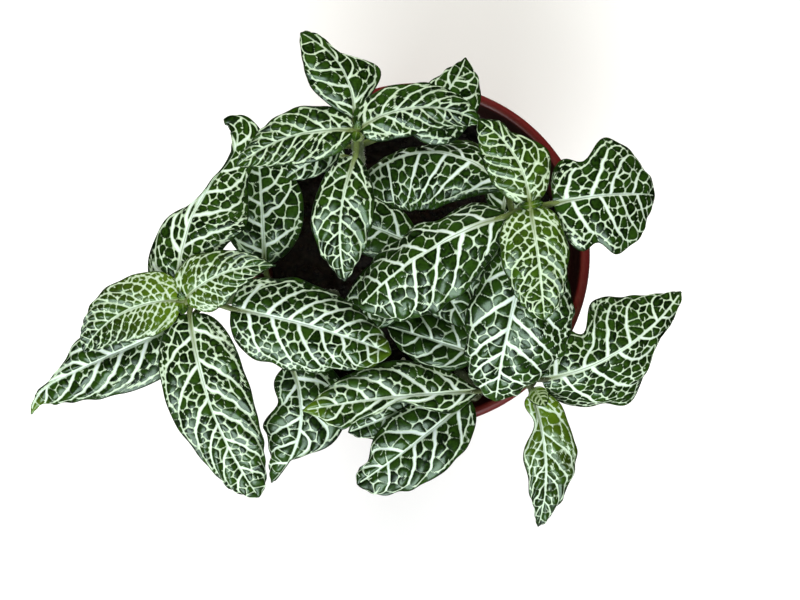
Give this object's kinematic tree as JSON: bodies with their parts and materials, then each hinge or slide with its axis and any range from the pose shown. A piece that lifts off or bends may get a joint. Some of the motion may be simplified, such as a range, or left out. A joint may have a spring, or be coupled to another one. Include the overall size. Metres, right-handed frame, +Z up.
{
  "type": "potted nerve plant",
  "caption": "Nerve plant with oval, white-veined green leaves in opposite pairs on arching stems, in a round tapered plastic pot with a rolled rim.",
  "frame": {"origin": "centre of the flat underside of the pot's base", "axes": "+Z up along the pot's axis, +X towards the side where the large round leaf hangs over the rim, +Y to the far side of the picture; the longest stem arches over the rim towards -X"},
  "size_m": [0.2171, 0.1589, 0.1645],
  "materials": {
    "pot_plastic": "satin dark red plastic",
    "potting_mix": "damp dark peat",
    "foliage": "satin leaf, netted with white veins"
  },
  "bodies": {
    "root": {"pot": "pot_plastic", "potting_mix": "potting_mix", "shoot_back": "foliage", "shoot_right": "foliage", "shoot_left": "foliage", "shoot_near": "foliage", "shoot_front": "foliage", "shoot_middle": "foliage"}
  },
  "joints": []
}
